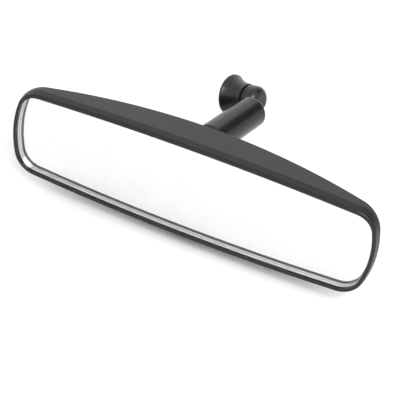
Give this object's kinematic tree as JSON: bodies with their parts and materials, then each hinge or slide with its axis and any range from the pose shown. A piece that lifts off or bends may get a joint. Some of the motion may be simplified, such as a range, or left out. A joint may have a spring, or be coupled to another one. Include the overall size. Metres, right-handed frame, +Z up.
{
  "type": "interior rearview mirror",
  "caption": "Wide prismatic interior rearview mirror with a bowed case, day and night lever, double-ball arm and bell-shaped windscreen foot.",
  "frame": {"origin": "centre of the foot's pad face, on the axis of the recess for the windscreen button", "axes": "+X along the mirror's length, towards the right seen from the driver's side; -Y towards the driver, the way the glass faces; +Z up"},
  "size_m": [0.247, 0.1174, 0.0766],
  "materials": {
    "case_plastic": "moulded black plastic with a fine grain",
    "mirror_glass": "clear prismatic glass with a ground edge",
    "silver": "silvered",
    "film": "adhesive safety film",
    "carrier_plastic": "glass-filled nylon",
    "bright_steel": "zinc plated",
    "nylon": "natural nylon",
    "lever_plastic": "moulded black plastic",
    "spring_steel": "spring steel",
    "arm_paint": "semi-gloss black paint",
    "liner_nylon": "black nylon",
    "foot_paint": "semi-gloss black paint on a casting"
  },
  "bodies": {
    "foot": {"foot_body": "foot_paint", "upper_ball_stud": "bright_steel", "button_clip": "spring_steel"},
    "upper_liner": {"upper_ball_liner": "liner_nylon"},
    "upper_seat": {"upper_ball_seat": "nylon"},
    "arm": {"arm_tube": "arm_paint", "arm_spring": "spring_steel", "upper_socket_ring": "nylon", "lower_socket_ring": "nylon", "lower_ball_seat": "nylon"},
    "lower_liner": {"lower_ball_liner": "liner_nylon"},
    "stud": {"lower_ball_stud": "bright_steel"},
    "carrier": {"pivot_carrier": "carrier_plastic", "hinge_bushes": "nylon", "stud_nut": "bright_steel", "stud_washer": "bright_steel"},
    "case": {"case_shell": "case_plastic", "mirror_glass": "mirror_glass", "silver_coating": "silver", "safety_film": "film", "hinge_pins": "bright_steel", "lever_pin": "bright_steel", "detent_spring": "spring_steel"},
    "lever": {"day_night_lever": "lever_plastic"}
  },
  "joints": [
    {"name": "upper_ball_swing", "type": "hinge", "parent": "foot", "child": "upper_liner", "pos_m": [0.02204, -0.02316, 0.00439], "axis": [0, 0, 1], "range_deg": [-2.5, 37.5]},
    {"name": "upper_ball_tilt", "type": "hinge", "parent": "upper_liner", "child": "upper_seat", "pos_m": [0.02204, -0.02316, 0.00439], "axis": [0.9744, -0.225, 0], "range_deg": [-16.2, 18.8]},
    {"name": "arm_spin", "type": "hinge", "parent": "upper_seat", "child": "arm", "pos_m": [0.02204, -0.02316, 0.00439], "axis": [0.2246, 0.973, 0.0523], "continuous": true},
    {"name": "lower_ball_swing", "type": "hinge", "parent": "arm", "child": "lower_liner", "pos_m": [0.01238, -0.065, 0.00214], "axis": [0, 0, 1], "range_deg": [-33, 7]},
    {"name": "lower_ball_tilt", "type": "hinge", "parent": "lower_liner", "child": "stud", "pos_m": [0.01238, -0.065, 0.00214], "axis": [1, 0, 0], "range_deg": [-15, 21]},
    {"name": "head_roll", "type": "hinge", "parent": "stud", "child": "carrier", "pos_m": [0.01238, -0.065, 0.00214], "axis": [0, 1, 0], "continuous": true},
    {"name": "day_night_flip", "type": "hinge", "parent": "carrier", "child": "case", "pos_m": [0.01238, -0.087, 0.00764], "axis": [-1, 0, 0], "range_deg": [0, 4]},
    {"name": "lever_throw", "type": "hinge", "parent": "case", "child": "lever", "pos_m": [0.01238, -0.088, -0.04136], "axis": [-1, 0, 0], "range_deg": [0, 36]}
  ],
  "couplings": [
    {"joint": "lever_throw", "follows": "day_night_flip", "ratio": 9}
  ]
}
